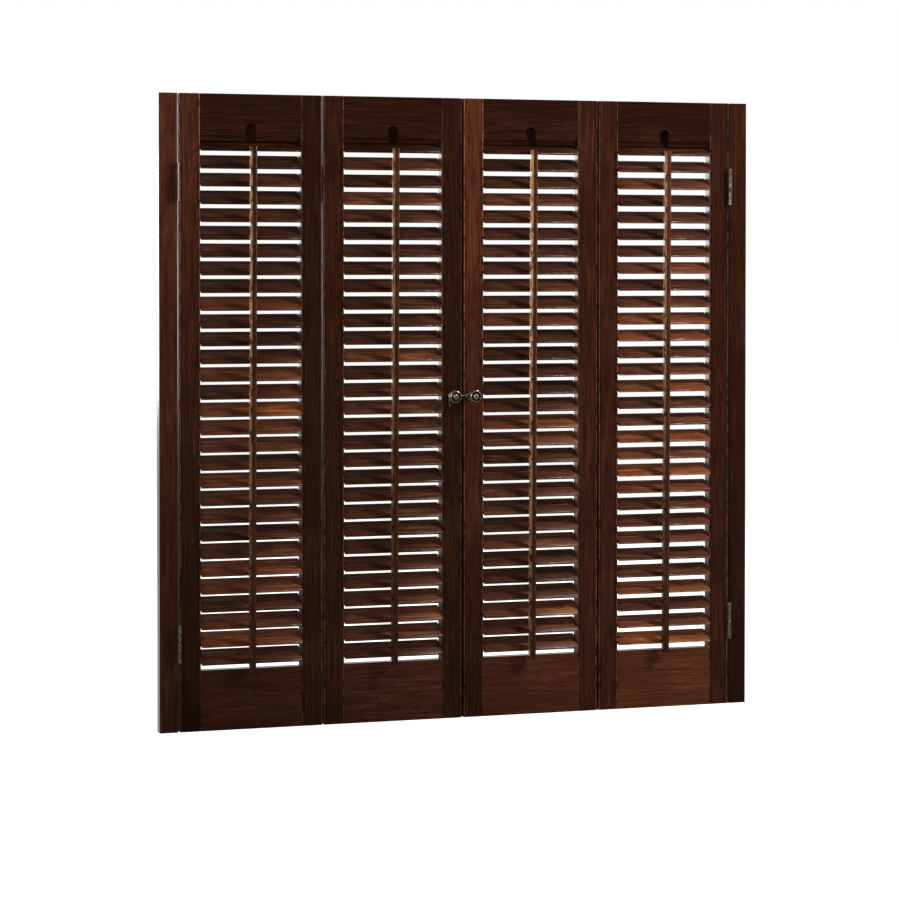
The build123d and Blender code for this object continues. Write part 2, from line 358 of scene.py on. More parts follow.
# %% Mix the stains
LONG_GRAIN = ((0.024, 0.0066, 0.0030), (0.038, 0.0105, 0.0045), (0.066, 0.0190, 0.0072))
RAIL_GRAIN = ((0.021, 0.0058, 0.0030), (0.034, 0.0092, 0.0042), (0.060, 0.0165, 0.0066))
SATIN = 0.35
upright_wood = stained_wood("upright_stained_wood", "Z", *LONG_GRAIN, shine=SATIN)
left_strip_wood = stained_wood("left_strip_wood", "Z", *LONG_GRAIN, fade=(-0.7, 1.1), shine=SATIN)
right_strip_wood = stained_wood("right_strip_wood", "Z", *LONG_GRAIN, fade=(-1.4, -0.9), shine=SATIN)
# The side faces are painted paler towards the head, as painted light.
edge_wood = stained_wood("panel_edge_wood_lit_above", "Z", (0.034, 0.0130, 0.0080), (0.052, 0.0200, 0.0120),
                         (0.085, 0.0340, 0.0200), gloss=0.34, fade=(-0.6, 1.2), shine=1.0, dull_foot=0.45)
# The meeting faces are painted darker, as painted shade in the narrow gap.
dull_shaded_edge_wood = stained_wood("shaded_meeting_edge_wood", "Z", *LONG_GRAIN, gloss=0.6, fade=(-1.0, -1.0), shine=0.0)
top_rail_wood = stained_wood("top_rail_wood", "X", *RAIL_GRAIN, fade=(-0.15, -1.35), shine=SATIN)
bottom_rail_wood = stained_wood("bottom_rail_wood", "X", *RAIL_GRAIN, fade=(-0.22, 1.0),
                                honey=(1.0, 1.0, 0.72), shine=SATIN)
# The louvers' pale colour is for rubbed noses and for the painted highlight along them.
louver_wood = stained_wood("louver_stained_wood", "X", (0.030, 0.0098, 0.0066), (0.054, 0.0176, 0.0096),
                           (0.125, 0.0410, 0.0155), bare_and_lit=(0.34, 0.19, 0.10), honey=(1.25, 1.12, 0.75))
# The rod's pale colour is for rubbed stain and for the painted light on its left side.
rod_wood = stained_wood("tilt_rod_wood", "Z", (0.024, 0.0070, 0.0036), (0.040, 0.0115, 0.0052),
                        (0.070, 0.0230, 0.0090), gloss=0.20, bare_and_lit=(0.60, 0.34, 0.15))
woods = (upright_wood, left_strip_wood, right_strip_wood, edge_wood, dull_shaded_edge_wood, top_rail_wood,
         bottom_rail_wood, louver_wood, rod_wood)
print("woods:", [wood.name for wood in woods])

# %% [markdown]
# ## Stiles with a bead
#
# A stile is the upright of a panel. A moulding cutter has worked a small round
# bead along both of its front edges, with a narrow sunk line, the quirk, beside
# it. The bead catches a thin bright line of light from top to bottom, so its
# round has to be there. The solid has it in flats, and eight short faces make it
# round. The crest of the bead is rubbed a little paler.
#
# The wide side faces of a stile have a stain of their own under a varnish that
# mirrors the window behind, and the stain is painted paler towards the head, as
# painted light. The left stiles of panels 3 and 4 have a dull one instead, painted
# darker, as painted shade, so that the narrow gap beside them stays dark.

# %% Draw a stile's section
BEAD_WIDTH = 2.4 * MM
BEAD_STEPS = 8
QUIRK_WIDTH = 0.9 * MM
QUIRK_DEPTH = 1.2 * MM
QUIRK_SLOPE = 0.12 * MM
SHOULDER_WIDTH = 0.3 * MM
SHOULDER_DEPTH = 0.25 * MM
SHOULDER_WEAR = 0.1
SIDE_FACE_AREA = 0.001


def stile_section(left, right):
    """Half the front, then mirrored: bead, quirk and a softened shoulder. The back corners are eased."""
    half = []
    radius = BEAD_WIDTH / 2
    for step in range(BEAD_STEPS + 1):
        angle = pi * step / BEAD_STEPS
        half.append((radius - radius * cos(angle), FRONT + radius - radius * sin(angle), sin(angle) ** 2))
    shoulder = BEAD_WIDTH + QUIRK_WIDTH
    half.append((BEAD_WIDTH + QUIRK_SLOPE, FRONT + QUIRK_DEPTH, 0.0))
    half.append((shoulder - QUIRK_SLOPE, FRONT + QUIRK_DEPTH, 0.0))
    half.append((shoulder, FRONT + SHOULDER_DEPTH, SHOULDER_WEAR))
    half.append((shoulder + SHOULDER_WIDTH, FRONT, 0.0))
    section = [(left + a, b, w) for a, b, w in half]
    section += [(right - a, b, w) for a, b, w in reversed(half)]
    section += [(right, BACK - ARRIS, 0.0), (right - ARRIS, BACK, 0.0)]
    section += [(left + ARRIS, BACK, 0.0), (left, BACK - ARRIS, 0.0)]
    return [(a, b) for a, b, w in section], [w for a, b, w in section]


# %% Mould the stiles
stile_tones = {  # each panel's left and right stile, at the sill and at the head
    "panel_1": ((-1.4, 0.9), (-0.75, -0.75)), "panel_2": ((-0.7, -0.3), (-0.9, -0.8)),
    "panel_3": ((-0.8, 1.0), (-0.3, -0.55)), "panel_4": ((-0.3, -0.45), (-0.5, -1.1)),
}
for panel in PANELS:
    for side, tones_and_shading in zip(("left", "right"), stile_tones[panel]):
        node = f"{panel}_{side}_stile"
        low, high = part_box(node)
        section, wear_and_light = stile_section(low.x, high.x)
        points, faces, worn_and_lit = moulded_bar(section, low.z, high.z, "Z", ARRIS, wear_and_light)
        bar = (points, faces, worn_and_lit, faded(points, *tones_and_shading))
        stile = make_object(node + "_moulded", [bar], upright_wood)
        by_dark_gap = side == "left" and panel in ("panel_3", "panel_4")
        # Side faces get the painted light, or the painted shade beside the dark gap.
        stile.data.materials.append(dull_shaded_edge_wood if by_dark_gap else edge_wood)
        for face in stile.data.polygons:
            if abs(face.normal.x) > 0.95 and face.area > SIDE_FACE_AREA:
                face.material_index = 1
        stand_for(stile, node)
print("stiles:", 2 * len(PANELS))

# %% [markdown]
# ## Louvers
# The louvers lower down are painted paler, as painted light.
#
# A louver is a thin slat, a little thicker in its middle, with both long edges
# rounded. Thirty of them hang in each panel on pins, front edge down. On an old
# shutter no two stand at quite the same angle, and each is cut from its own
# board, so some came out of the stain dark plum and others orange-brown.
#
# The under sides are painted darker than the faces, as painted shade.
#
# The spacing is read off the solids. The louvers hang up to six degrees steeper
# than those of the solids and about a millimetre lower. A seeded random number
# turns each one by a fraction of a degree and gives it its tone, so the result is
# the same every time.

# %% Draw a louver's section
LOUVER_WIDTH = 31.75 * MM
LOUVER_HALF_THICK = 3.0 * MM
LOUVER_HALF_EDGE = 1.65 * MM
NOSE = 1.3 * MM
FLAT_STEPS = 10
NOSE_STEPS = 8
UNDERSIDE = -0.4 * MM
# Painted shade: how much darker the louvers' under sides are.
UNDERSIDE_SHADE = -2.6
LOUVER_COUNT = 30


def louver_section(tilt, pivot_y, pivot_z):
    """Section of one louver: shallow arcs above and below, and a round nose at each edge."""
    half = LOUVER_WIDTH / 2 - NOSE
    flat = []
    for step in range(FLAT_STEPS + 1):
        share = 2 * step / FLAT_STEPS - 1
        rise = (LOUVER_HALF_THICK - LOUVER_HALF_EDGE) * (1 - share ** 2)
        flat.append((half * share, LOUVER_HALF_EDGE + rise, 0.0))
    for step in range(1, NOSE_STEPS):
        angle = pi / 2 - pi * step / NOSE_STEPS
        # The upper front of the nose is marked pale, partly as rubbed wood and partly as a painted
        # highlight.
        rubbed = max(0.0, cos(angle - 0.5)) ** 2
        flat.append((half + NOSE * cos(angle), LOUVER_HALF_EDGE * sin(angle), rubbed))
    flat += [(-a, -b, w) for a, b, w in flat]
    turned, underside_shade = [], []
    for a, b, w in flat:
        turned.append((pivot_y + a * cos(tilt) - b * sin(tilt), pivot_z + a * sin(tilt) + b * cos(tilt)))
        # Points on the under side get the painted shade.
        underside_shade.append(UNDERSIDE_SHADE if b < UNDERSIDE else 0.0)
    return turned, [w for a, b, w in flat], underside_shade


# %% Hang the louvers
hand = random.Random(21)
BOARD_TONES = (-0.4, -0.2, 0.0, 0.1, 0.4, 0.75)
# The top louver is painted darker, as painted shade under the top rail.
FIRST_LOUVER_SHADE = -0.9
LOUVER_ARRIS = 0.35 * MM
solid_tilts = {"panel_1": 32.5, "panel_2": 32.5, "panel_3": 32.5, "panel_4": 27.5}
hung_tilts = {  # at the head and at the sill
    "panel_1": (36.5, 39.0), "panel_2": (35.0, 36.5), "panel_3": (34.5, 37.5), "panel_4": (31.5, 28.0),
}
# How pale each panel's noses are marked, partly as rubbed wood and partly as a painted highlight.
nose_rub_and_highlight = {"panel_1": 0.25, "panel_2": 0.35, "panel_3": 0.7, "panel_4": 0.9}
# How much paler each panel's louvers are painted towards the sill, as painted light.
painted_light_below = {"panel_1": 0.6, "panel_2": 0.4, "panel_3": 0.1, "panel_4": 0.6}
noses = {}
for panel in PANELS:
    node = panel + "_louvers"
    low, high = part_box(node)
    solid_tilt = radians(solid_tilts[panel])
    edge = (LOUVER_WIDTH / 2 - NOSE) * sin(solid_tilt) + LOUVER_HALF_EDGE * cos(solid_tilt)
    first, last = high.z - edge, low.z + edge
    top_tilt, bottom_tilt = hung_tilts[panel]
    parts, noses[panel] = [], []
    for number in range(LOUVER_COUNT):
        down = number / (LOUVER_COUNT - 1)
        sag = (0.5 + 0.7 * down) * MM
        pivot_z = first + (last - first) * down - sag
        tilt = radians(top_tilt + (bottom_tilt - top_tilt) * down + hand.uniform(-0.7, 0.7))
        section, wear_and_light, underside_shade = louver_section(tilt, MIDDLE, pivot_z)
        # The noses' rubbing and painted highlight grow towards the sill.
        wear_and_light = [w * nose_rub_and_highlight[panel] * (0.4 + 0.6 * down) for w in wear_and_light]
        # A board tone at random, painted paler lower down as painted light.
        tone_and_shading = hand.choice(BOARD_TONES) + hand.uniform(-0.1, 0.1) - 0.4 + painted_light_below[panel] * down
        # The top louver gets the painted shade.
        if number == 0:
            tone_and_shading = FIRST_LOUVER_SHADE
        points, faces, worn_and_lit = moulded_bar(section, low.x, high.x, "X", LOUVER_ARRIS, wear_and_light)
        # The painted shade on the under side is added to the louver's tone.
        tones_and_shading = [tone_and_shading + shade for shade in underside_shade] * (len(points) // len(section))
        parts.append((points, faces, worn_and_lit, tones_and_shading))
        noses[panel].append((MIDDLE - LOUVER_WIDTH / 2 * cos(tilt), pivot_z - LOUVER_WIDTH / 2 * sin(tilt)))
    stand_for(make_object(node + "_rounded", parts, louver_wood), node)
    print(panel, "louvers from", round(first / MM, 1), "down to", round(last / MM, 1))

# %% [markdown]
# ## Tilt rods and their staples
#
# A rod with rounded corners links the louvers of a panel. It isn't glued on:
# small wire staples hook it to the front edge of every louver, so that pushing
# the rod up closes them all. Over the years the rods have come to hang slightly
# out of plumb, by about three millimetres over their length. Their left sides are
# painted pale, partly as stain that fingers have rubbed off and partly as painted
# light from the window behind, most of all near the top.
#
# The rod is a moulded bar that leans, and each staple is a bent wire whose two
# legs go into the louver's edge above and below its nose.

# %% Draw the rod
ROD_LEAN = 1.4 * MM
ROD_CORNER = 2.7 * MM
CORNER_STEPS = 6
ROD_END_ARRIS = 0.6 * MM


def rod_section(low, high):
    """Flat front with well-rounded corners on a square back. The left side is marked pale, partly as rubbed
    stain and partly as painted light.
    """
    section, wear_and_light = [], []
    for side, steps in ((-1, range(CORNER_STEPS + 1)), (1, range(CORNER_STEPS, -1, -1))):
        corner_x = (low.x if side < 0 else high.x) - side * ROD_CORNER
        for step in steps:
            angle = pi / 2 * step / CORNER_STEPS
            front_y = low.y + ROD_CORNER * (1 - sin(angle))
            section.append((corner_x + side * ROD_CORNER * cos(angle), front_y))
            wear_and_light.append(cos(angle) ** 0.4 if side < 0 else 0.1 * sin(2 * angle))
    section += [(high.x, high.y - ARRIS), (high.x - ARRIS, high.y)]
    section += [(low.x + ARRIS, high.y), (low.x, high.y - ARRIS)]
    return section, wear_and_light + [0.0, 0.0, 0.3, 1.0]


def leaning(z, low, high):
    """How far the rod stands to the right of its middle line at height z."""
    return ROD_LEAN * (z - (high.z + low.z) / 2) / ((high.z - low.z) / 2)


# %% Bend a staple
STAPLE_THICK = 0.45 * MM
STAPLE_LEG = 2.5 * MM
STAPLE_BEND = 0.6 * MM
STAPLE_BITE = 2.6 * MM
STAPLE_IN_ROD = 0.6 * MM


def staple(x, rod_back, nose_y, nose_z):
    """A wire that leaves the rod above a louver's nose, bites into the wood and comes back below."""
    inside, behind = rod_back - STAPLE_IN_ROD, nose_y + STAPLE_BITE
    over = [(inside, STAPLE_LEG), (behind - STAPLE_BEND, STAPLE_LEG), (behind, STAPLE_LEG * 0.6)]
    route = [(x, y, nose_z + rise) for y, rise in over]
    route += [(x, y, nose_z - rise) for y, rise in reversed(over)]
    return bent_wire(route, STAPLE_THICK, 8)


# %% Hang the rods
rod_staples = {}
# How pale each rod's left side is marked, at the sill and at the head: partly rubbed stain, partly painted
# light.
rod_rub_and_light = {  # at the sill and at the head
    "panel_1": (-0.8, 1.15), "panel_2": (-0.7, 0.8), "panel_3": (0.1, 1.5), "panel_4": (-0.5, 0.8),
}
for panel in PANELS:
    node = panel + "_tilt_rod"
    low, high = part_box(node)
    section, wear_and_light = rod_section(low, high)
    points, faces, worn_and_lit = moulded_bar(section, low.z, high.z, "Z", ROD_END_ARRIS, wear_and_light)
    # The pale mark on the left side, partly rubbed stain and partly painted light, changes from the sill to
    # the head.
    rub_and_light = faded(points, *rod_rub_and_light[panel])
    worn_and_lit = [max(0.0, w * rub) for w, rub in zip(worn_and_lit, rub_and_light)]
    points = [(x + leaning(z, low, high), y, z) for x, y, z in points]
    rod = make_object(node + "_leaning", [(points, faces, worn_and_lit, faded(points, -0.2, 0.1))], rod_wood)
    stand_for(rod, node)
    middle_x = (low.x + high.x) / 2
    rod_staples[panel] = [staple(middle_x + leaning(z, low, high), high.y, y, z) for y, z in noses[panel]]
print("rods:", len(PANELS), "staples:", sum(len(staples) for staples in rod_staples.values()))

# %% [markdown]
# ## The metals
#
# The hinges are plated brass that has dulled to a greyish tan, and the knobs and
# the latch wire are brass too, warmer and polished by fingers. Metal has no
# colour of its own under the polish, so the shader's metallic value is close to 1
# and the colour tints the reflection. Tarnish is drawn with a noise that makes
# the metal both darker and rougher in patches. Here a positive wear keeps a spot
# bright, and a negative one leaves it dark, as at the bottom of a groove.

# %% Mix the metals
def dulled_metal(name, bright, tarnished, smooth, rough):
    """Metal that is bright where it is rubbed, and dark and dull where it isn't."""
    material, shader, link, add = new_material(name)
    place = add("TexCoord").outputs["Object"]
    patches = add("TexNoise", {"Scale": 160.0, "Detail": 4.0, "Roughness": 0.6})
    link(place, patches.inputs["Vector"])
    rub = add("Math", operation="SUBTRACT", use_clamp=True)
    link(soft_step(add, link, patches.outputs[0], 0.40, 0.66), rub.inputs[0])
    link(add("Attribute", attribute_name="wear_and_light").outputs["Fac"], rub.inputs[1])
    share = rub.outputs[0]
    link(colour_mix(add, link, share, bright, tarnished), shader.inputs["Base Color"])
    dull = add("MapRange", {1: 0.0, 2: 1.0, 3: smooth, 4: rough})
    link(share, dull.inputs[0])
    link(dull.outputs[0], shader.inputs["Roughness"])
    shader.inputs["Metallic"].default_value = 0.9
    scratches = add("TexNoise", {"Scale": 1400.0, "Detail": 1.0})
    link(place, scratches.inputs["Vector"])
    bump = add("Bump", {"Strength": 0.12, "Distance": 0.0002})
    link(scratches.outputs[0], bump.inputs["Height"])
    link(bump.outputs[0], shader.inputs["Normal"])
    return material


hinge_metal = dulled_metal("dulled_hinge_plate", (0.68, 0.55, 0.43), (0.16, 0.108, 0.070), 0.26, 0.46)
ring_metal = dulled_metal("rubbed_hinge_ring", (0.90, 0.80, 0.64), (0.50, 0.40, 0.28), 0.20, 0.36)
knob_brass = dulled_metal("handled_brass", (1.0, 0.89, 0.76), (0.045, 0.024, 0.013), 0.22, 0.42)
# The screw slots are dark bars of painted shade.
slot_shadow = dulled_metal("screw_slot_painted_shade", (0.035, 0.028, 0.022), (0.015, 0.012, 0.010), 0.6, 0.8)
print("metals:", hinge_metal.name, ring_metal.name, knob_brass.name, slot_shadow.name)

# %% Fix the staples
for panel, staples in rod_staples.items():
    piece = make_object(panel + "_rod_staples", staples, hinge_metal)
    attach(piece, panel)
    print(panel, "staples", len(staples))

# %% [markdown]
# ## Lift-off hinges
#
# Each hinge has a thin leaf on either side of a gap and two knuckles of the same
# length, one above the other. The lower knuckle carries the pin and the upper one
# drops over it, so that a pair of panels can be lifted off. A washer sits between
# the knuckles, and each barrel ends in a small turned ring. Both have been rubbed
# bright. Three flat-headed screws with plain slots hold each leaf, and they show
# only when a panel is open.
#
# The leaf is a plate with softened edges, and the round pieces of the barrel come
# from turned_piece. The line of each pin is read off the box of its leaves, and
# the heights are measured from the ends of the stiles.

# %% Shape one leaf with its knuckle
LEAF_DEPTH = 14.0 * MM
PIN_PROUD = 3.4 * MM
BARREL = 2.62 * MM
HINGE_HALF = 25.5 * MM
HINGE_FROM_END = 127.0 * MM
LEAF_NEAR, LEAF_FAR = 0.2 * MM, 1.2 * MM
KNUCKLE_HALF_GAP = 0.15 * MM
END_RING = 1.6 * MM
ROUND_STEPS = 36


def soft_plate(low, high):
    """A plate whose long edges are softened: an eased section carried upwards."""
    ease = 0.15 * MM
    (x0, y0), (x1, y1) = low[:2], high[:2]
    section = [(x0 + ease, y0), (x1 - ease, y0), (x1, y0 + ease), (x1, y1 - ease),
               (x1 - ease, y1), (x0 + ease, y1), (x0, y1 - ease), (x0, y0 + ease)]
    return moulded_bar(section, low[2], high[2], "Z", ease)


def knuckle(centre, z_low, z_high, ring_above):
    """One barrel, with a turned ring at its free end."""
    ease = 0.3 * MM
    body = [(BARREL - ease, z_low), (BARREL, z_low + ease), (BARREL, z_high - ease), (BARREL - ease, z_high)]
    base, way = (z_high, 1) if ring_above else (z_low, -1)
    neck, rim, end = BARREL - 0.7 * MM, BARREL - 0.1 * MM, BARREL - 0.6 * MM
    ring = [(neck, 0.0), (neck, 0.35 * MM), (rim, 0.55 * MM), (rim, 1.2 * MM), (end, END_RING),
            (0.4 * MM, END_RING + 0.1 * MM)]
    ring = [(radius, base + way * height) for radius, height in ring]
    return [turned_piece(outline, (*centre, 0.0), "Z", ROUND_STEPS) for outline in (body, ring)]


# %% Shape the pin, the washer and a screw
SCREW_RADIUS, SCREW_FLAT, SCREW_MIDDLE = 2.3 * MM, 2.1 * MM, 0.3 * MM
SCREW_PROUD = 0.07 * MM
SCREW_STEPS = 20
SCREW_RISES = (-17 * MM, 0.0, 17 * MM)
SLOT_HALF_LENGTH = 1.8 * MM
SLOT_HALF_WIDTH = 0.25 * MM


def pin_and_washer(centre, middle, head):
    """The pin on the lower knuckle, and the washer between the knuckles."""
    pin = [(1.5 * MM, middle - 1 * MM), (1.5 * MM, head - 2.8 * MM), (1.1 * MM, head - 2.4 * MM)]
    washer = [(2.2 * MM, middle - 0.5 * MM), (2.7 * MM, middle - 0.4 * MM), (2.78 * MM, middle),
              (2.7 * MM, middle + 0.1 * MM)]
    return turned_piece(pin, (*centre, 0.0), "Z", 24), turned_piece(washer, (*centre, 0.0), "Z", ROUND_STEPS)


def screw_head(spot, side):
    """A flat round head, a hair proud of the leaf, on the face that is turned to the gap."""
    x, y, z = spot
    points, faces = [], []
    for radius, proud in ((SCREW_RADIUS, 0.0), (SCREW_FLAT, SCREW_PROUD), (SCREW_MIDDLE, SCREW_PROUD)):
        for step in range(SCREW_STEPS):
            angle = 2 * pi * step / SCREW_STEPS
            points.append((x - side * proud, y + radius * cos(angle), z + radius * sin(angle)))
    for first in (0, SCREW_STEPS):
        for step in range(SCREW_STEPS):
            low, high, turn = first, first + SCREW_STEPS, (step + 1) % SCREW_STEPS
            faces.append((low + step, low + turn, high + turn, high + step))
    faces.append(tuple(range(2 * SCREW_STEPS, 3 * SCREW_STEPS)))
    return points, faces, [0.0] * len(points)


def screw_slot(spot, side):
    """A dark bar of painted shade that shows as the slot across a screw's head."""
    x, y, z = spot
    left, right = sorted((x - side * 0.05 * MM, x - side * 0.1 * MM))
    front, back = y - SLOT_HALF_WIDTH, y + SLOT_HALF_WIDTH
    section = [(left, front), (right, front), (right, back), (left, back)]
    return moulded_bar(section, z - SLOT_HALF_LENGTH, z + SLOT_HALF_LENGTH)


# %% Build every leaf
LEAVES = {  # the leaf's side of the gap, the way that its barrel stands out, and whether it is the upper one
    "left_strip_hinge_leaves": (-1, -1, False), "panel_1_outer_hinge_leaves": (1, -1, True),
    "panel_1_fold_hinge_leaves": (-1, 1, False), "panel_2_fold_hinge_leaves": (1, 1, True),
    "panel_4_fold_hinge_leaves": (1, 1, False), "panel_3_fold_hinge_leaves": (-1, 1, True),
    "right_strip_hinge_leaves": (1, -1, False), "panel_4_outer_hinge_leaves": (-1, -1, True),
}
for node, (side, outward, upper) in LEAVES.items():
    low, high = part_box(node)
    axis_x = (low.x + high.x) / 2
    face_y = FRONT if outward < 0 else BACK
    pin_y = face_y + outward * PIN_PROUD
    plate_x = sorted((axis_x + side * LEAF_NEAR, axis_x + side * LEAF_FAR))
    inner = sorted((face_y - outward * LEAF_DEPTH, face_y))
    web = sorted((face_y, pin_y))
    screw_x, screw_y = axis_x + side * LEAF_NEAR, face_y - outward * LEAF_DEPTH * 0.55
    parts, rings, screws = [], [], []
    for middle in (TOP - HINGE_FROM_END, BOTTOM + HINGE_FROM_END):
        foot, head = middle - HINGE_HALF, middle + HINGE_HALF
        z_low, z_high = (middle + KNUCKLE_HALF_GAP, head) if upper else (foot, middle - KNUCKLE_HALF_GAP)
        parts.append(soft_plate((plate_x[0], inner[0], foot), (plate_x[1], inner[1], head)))
        parts.append(soft_plate((plate_x[0], web[0], z_low), (plate_x[1], web[1], z_high)))
        barrel, ring = knuckle((axis_x, pin_y), z_low, z_high, upper)
        parts.append(barrel)
        rings.append(ring)
        if not upper:
            pin, washer = pin_and_washer((axis_x, pin_y), middle, head)
            parts.append(pin)
            rings.append(washer)
        screws += [(screw_x, screw_y, middle + rise) for rise in SCREW_RISES]
    stand_for(make_object(node + "_turned", parts, hinge_metal), node)
    bright_rings = make_object(node + "_rings", rings, ring_metal)
    heads = make_object(node + "_screws", [screw_head(spot, side) for spot in screws], hinge_metal)
    # The slots are dark bars of painted shade over the screw heads.
    slots = make_object(node + "_screw_slots", [screw_slot(spot, side) for spot in screws], slot_shadow)
    for small in (bright_rings, heads, slots):
        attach(small, body_of_node(node))
print("hinge leaves:", len(LEAVES))

# %% [markdown]
# ## Knobs
#
# Two small brass knobs stand on the meeting stiles. The lathe outline starts at
# the foot that sits on the wood, narrows to a neck, opens like a trumpet to a
# thick rim, and ends in a sunk ring round a central button with a tiny dimple.
# The solid has the same outline in flats. Here it is drawn with more steps, and
# the rim and the button are rounded.

# %% Turn the knobs
KNOB_STEPS = 64
TRUMPET_STEPS = 8
FOOT = [(5.2, 0.0), (5.4, 0.25), (5.4, 0.8), (5.0, 1.15), (3.7, 1.5), (3.1, 2.3), (3.0, 3.6), (3.05, 5.0)]
RIM = [(8.75, 12.1), (8.8, 12.8), (8.8, 14.6), (8.6, 15.5), (8.1, 16.15), (7.4, 16.4), (6.8, 16.3)]
SUNK_RING = [(6.3, 15.9), (5.9, 15.2), (5.3, 14.95), (4.6, 15.1), (4.15, 15.7)]
BUTTON = [(3.9, 16.3), (3.3, 16.7), (2.4, 16.92), (1.2, 16.98), (0.95, 16.8), (0.7, 16.2), (0.1, 16.1)]


def knob_outline():
    """Radius and height in millimetres, from the foot to the dimple in the button."""
    shares = [step / TRUMPET_STEPS for step in range(1, TRUMPET_STEPS + 1)]
    trumpet = [(3.05 + 5.45 * share ** 1.8, 5.0 + 6.6 * share ** 0.85) for share in shares]
    return FOOT + trumpet + RIM + SUNK_RING + BUTTON


def knob_wear(radius, height):
    """Fingers keep the rim and the button bright. The ring, the dimple and the neck stay dark."""
    face = height > 14
    in_ring = face and 4.0 < radius < 7.7
    in_dimple = face and radius < 1.3
    return -1.0 if in_ring or in_dimple or height < 11 else 1.0


for panel in ("panel_2", "panel_3"):
    node = panel + "_knob"
    low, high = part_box(node)
    centre = ((low.x + high.x) / 2, high.y, (low.z + high.z) / 2)
    outline = [(radius * MM, height * MM) for radius, height in knob_outline()]
    points, faces = turned_piece(outline, centre, "Y", KNOB_STEPS)[:2]
    worn_and_lit = [knob_wear(*spot) for spot in knob_outline() for step in range(KNOB_STEPS)]
    knob = make_object(node + "_turned", [(points, faces, worn_and_lit)], knob_brass, crease=50)
    stand_for(knob, node)
    print(node, "at", [round(v / MM, 1) for v in centre])

# %% [markdown]
# ## The latch wire
#
# A bent brass wire holds the two pairs shut. Its eye is trapped round the foot of
# the right knob. Its arm crosses the gap, climbs over the foot of the left knob,
# and ends in a straight tail that a finger can lift.
#
# The wire follows a handful of given points. A smooth curve goes through them,
# and bent_wire gives it its thickness. It rides with the right-hand panel.

# %% Bend the latch wire
def smooth_route(knots, steps=8):
    """A smooth line through the knots, with a few points on each run."""
    knots = [Vector(knot) for knot in knots]
    ends = [2 * knots[0] - knots[1]] + knots + [2 * knots[-1] - knots[-2]]
    route = []
    for n in range(1, len(ends) - 2):
        a, b, c, d = ends[n - 1:n + 3]
        for step in range(steps):
            t = step / steps
            route.append(0.5 * (2 * b + (c - a) * t + (2 * a - 5 * b + 4 * c - d) * t ** 2
                                + (3 * b - a - 3 * c + d) * t ** 3))
    return route + [knots[-1]]


WIRE = 0.6 * MM
WIRE_PROUD = 0.75 * MM
WIRE_STEPS = 12
left_low, left_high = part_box("panel_2_knob")
right_low, right_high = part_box("panel_3_knob")
left_x, right_x = (left_low.x + left_high.x) / 2, (right_low.x + right_high.x) / 2
knob_z = (left_low.z + left_high.z) / 2
tail = [(-4.3, -15.8), (-4.7, -11.0), (-5.6, -5.0), (-6.25, 0.0), (-5.1, 3.9), (-2.2, 6.0), (1.4, 6.2),
        (5.2, 4.4), (8.6, 2.3), (12.5, 1.6), (17.0, 1.5)]
eye = [(-10.0, 1.6), (-6.6, 3.4), (-3.7, 5.3), (0.2, 6.4), (4.5, 4.7), (6.5, 0.2), (4.6, -4.5),
       (0.2, -6.5), (-3.6, -5.5), (-7.0, -2.4), (-10.2, 0.2)]
knots = [(left_x + a * MM, FRONT - WIRE_PROUD, knob_z + b * MM) for a, b in tail]
knots += [(right_x + a * MM, FRONT - WIRE_PROUD, knob_z + b * MM) for a, b in eye]
route = smooth_route(knots)
points, faces = bent_wire(route, WIRE, WIRE_STEPS)[:2]
latch = make_object("latch_wire", [(points, faces, [1.0] * len(points))], knob_brass, crease=60)
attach(latch, "panel_3")
print("latch wire points:", len(route))

# %% [markdown]
# ## The solids that keep their shape
#
# Strips and rails are plain joinery, and the part already has them right, with
# the rabbet and the arched notch in the top rails. They only need wood. A rail's
# grain runs sideways and a strip's grain runs upwards.

# %% Dress the strips and the rails
for node, solid in frame["nodes"].items():
    if node.endswith("_rail"):
        solid.data.materials[0] = top_rail_wood if node.endswith("_top_rail") else bottom_rail_wood
    elif node.endswith("_strip"):
        solid.data.materials[0] = left_strip_wood if node.startswith("left") else right_strip_wood
print("dressed:", [n for n in frame["nodes"] if n.endswith(("_rail", "_strip"))])

# %% [markdown]
# ## Floor and background
#
# The shutter is shown on white. A white backdrop could be a big lit sheet, but
# then the light that makes it white would also fall on the dark wood. Here the
# world is white only for rays that look at it or see it mirrored, and it lights
# the part with a soft grey. The front of the room is dim in a mirror, as it is
# behind a camera, so the varnish stays deep. The side behind the shutter is
# bright in a mirror. The floor is pale and keeps a soft shadow.

# %% The world
TOWARDS_WINDOW = (-0.25, 0.92, -0.30)
DIM_AT, BRIGHT_AT = 0.30, 0.95
DIM_MIRROR, BRIGHT_MIRROR = 0.02, 1.0
SOFT_GREY = 0.15

world = bpy.data.worlds.new("white_room")
bpy.context.scene.world = world
world.use_nodes = True
sky, sky_link = world.node_tree.nodes, world.node_tree.links.new
sky_out = sky["Background"]
facing = sky.new("ShaderNodeTexCoord")
towards = sky.new("ShaderNodeVectorMath")
towards.operation = "DOT_PRODUCT"
towards.inputs[1].default_value = TOWARDS_WINDOW
sky_link(facing.outputs["Generated"], towards.inputs[0])
behind = sky.new("ShaderNodeMapRange")
behind.interpolation_type = "SMOOTHSTEP"
for socket, value in enumerate((DIM_AT, BRIGHT_AT, DIM_MIRROR, BRIGHT_MIRROR), 1):
    behind.inputs[socket].default_value = value
sky_link(towards.outputs["Value"], behind.inputs[0])
ray = sky.new("ShaderNodeLightPath")
mirrored = sky.new("ShaderNodeMix")
mirrored.inputs[2].default_value = SOFT_GREY
sky_link(ray.outputs["Is Glossy Ray"], mirrored.inputs[0])
sky_link(behind.outputs[0], mirrored.inputs[3])
seen = sky.new("ShaderNodeMath")
seen.operation = "MAXIMUM"
sky_link(ray.outputs["Is Camera Ray"], seen.inputs[0])
